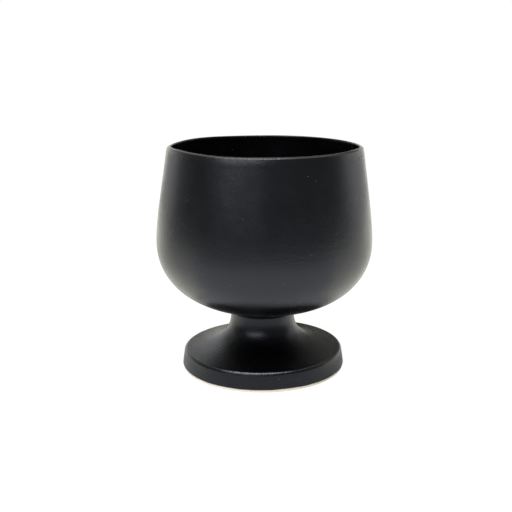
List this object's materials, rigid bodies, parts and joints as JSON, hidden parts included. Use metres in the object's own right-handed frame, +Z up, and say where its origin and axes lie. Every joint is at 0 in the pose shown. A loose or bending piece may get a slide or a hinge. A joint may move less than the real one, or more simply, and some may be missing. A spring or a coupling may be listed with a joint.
{
  "type": "footed serving bowl",
  "caption": "Deep stoneware serving bowl in satin black glaze on a short necked pedestal foot with a bare cream clay foot ring.",
  "frame": {"origin": "centre of the foot ring's underside, on the surface that the bowl stands on", "axes": "+Z up along the axis on which the bowl and its foot were turned; -Y towards the picture's camera; +X to its right"},
  "size_m": [0.2, 0.2, 0.2094],
  "materials": {
    "black_glaze": "satin black stoneware glaze with a fine mottled grain",
    "cream_clay": "bare fired cream stoneware, matte and finely gritty",
    "cream_slip": "fired luting slip, matte"
  },
  "bodies": {
    "root": {"bowl_body": "cream_clay", "bowl_glaze": "black_glaze", "foot_body": "cream_clay", "foot_glaze": "black_glaze", "slip_joint": "cream_slip"}
  },
  "joints": []
}
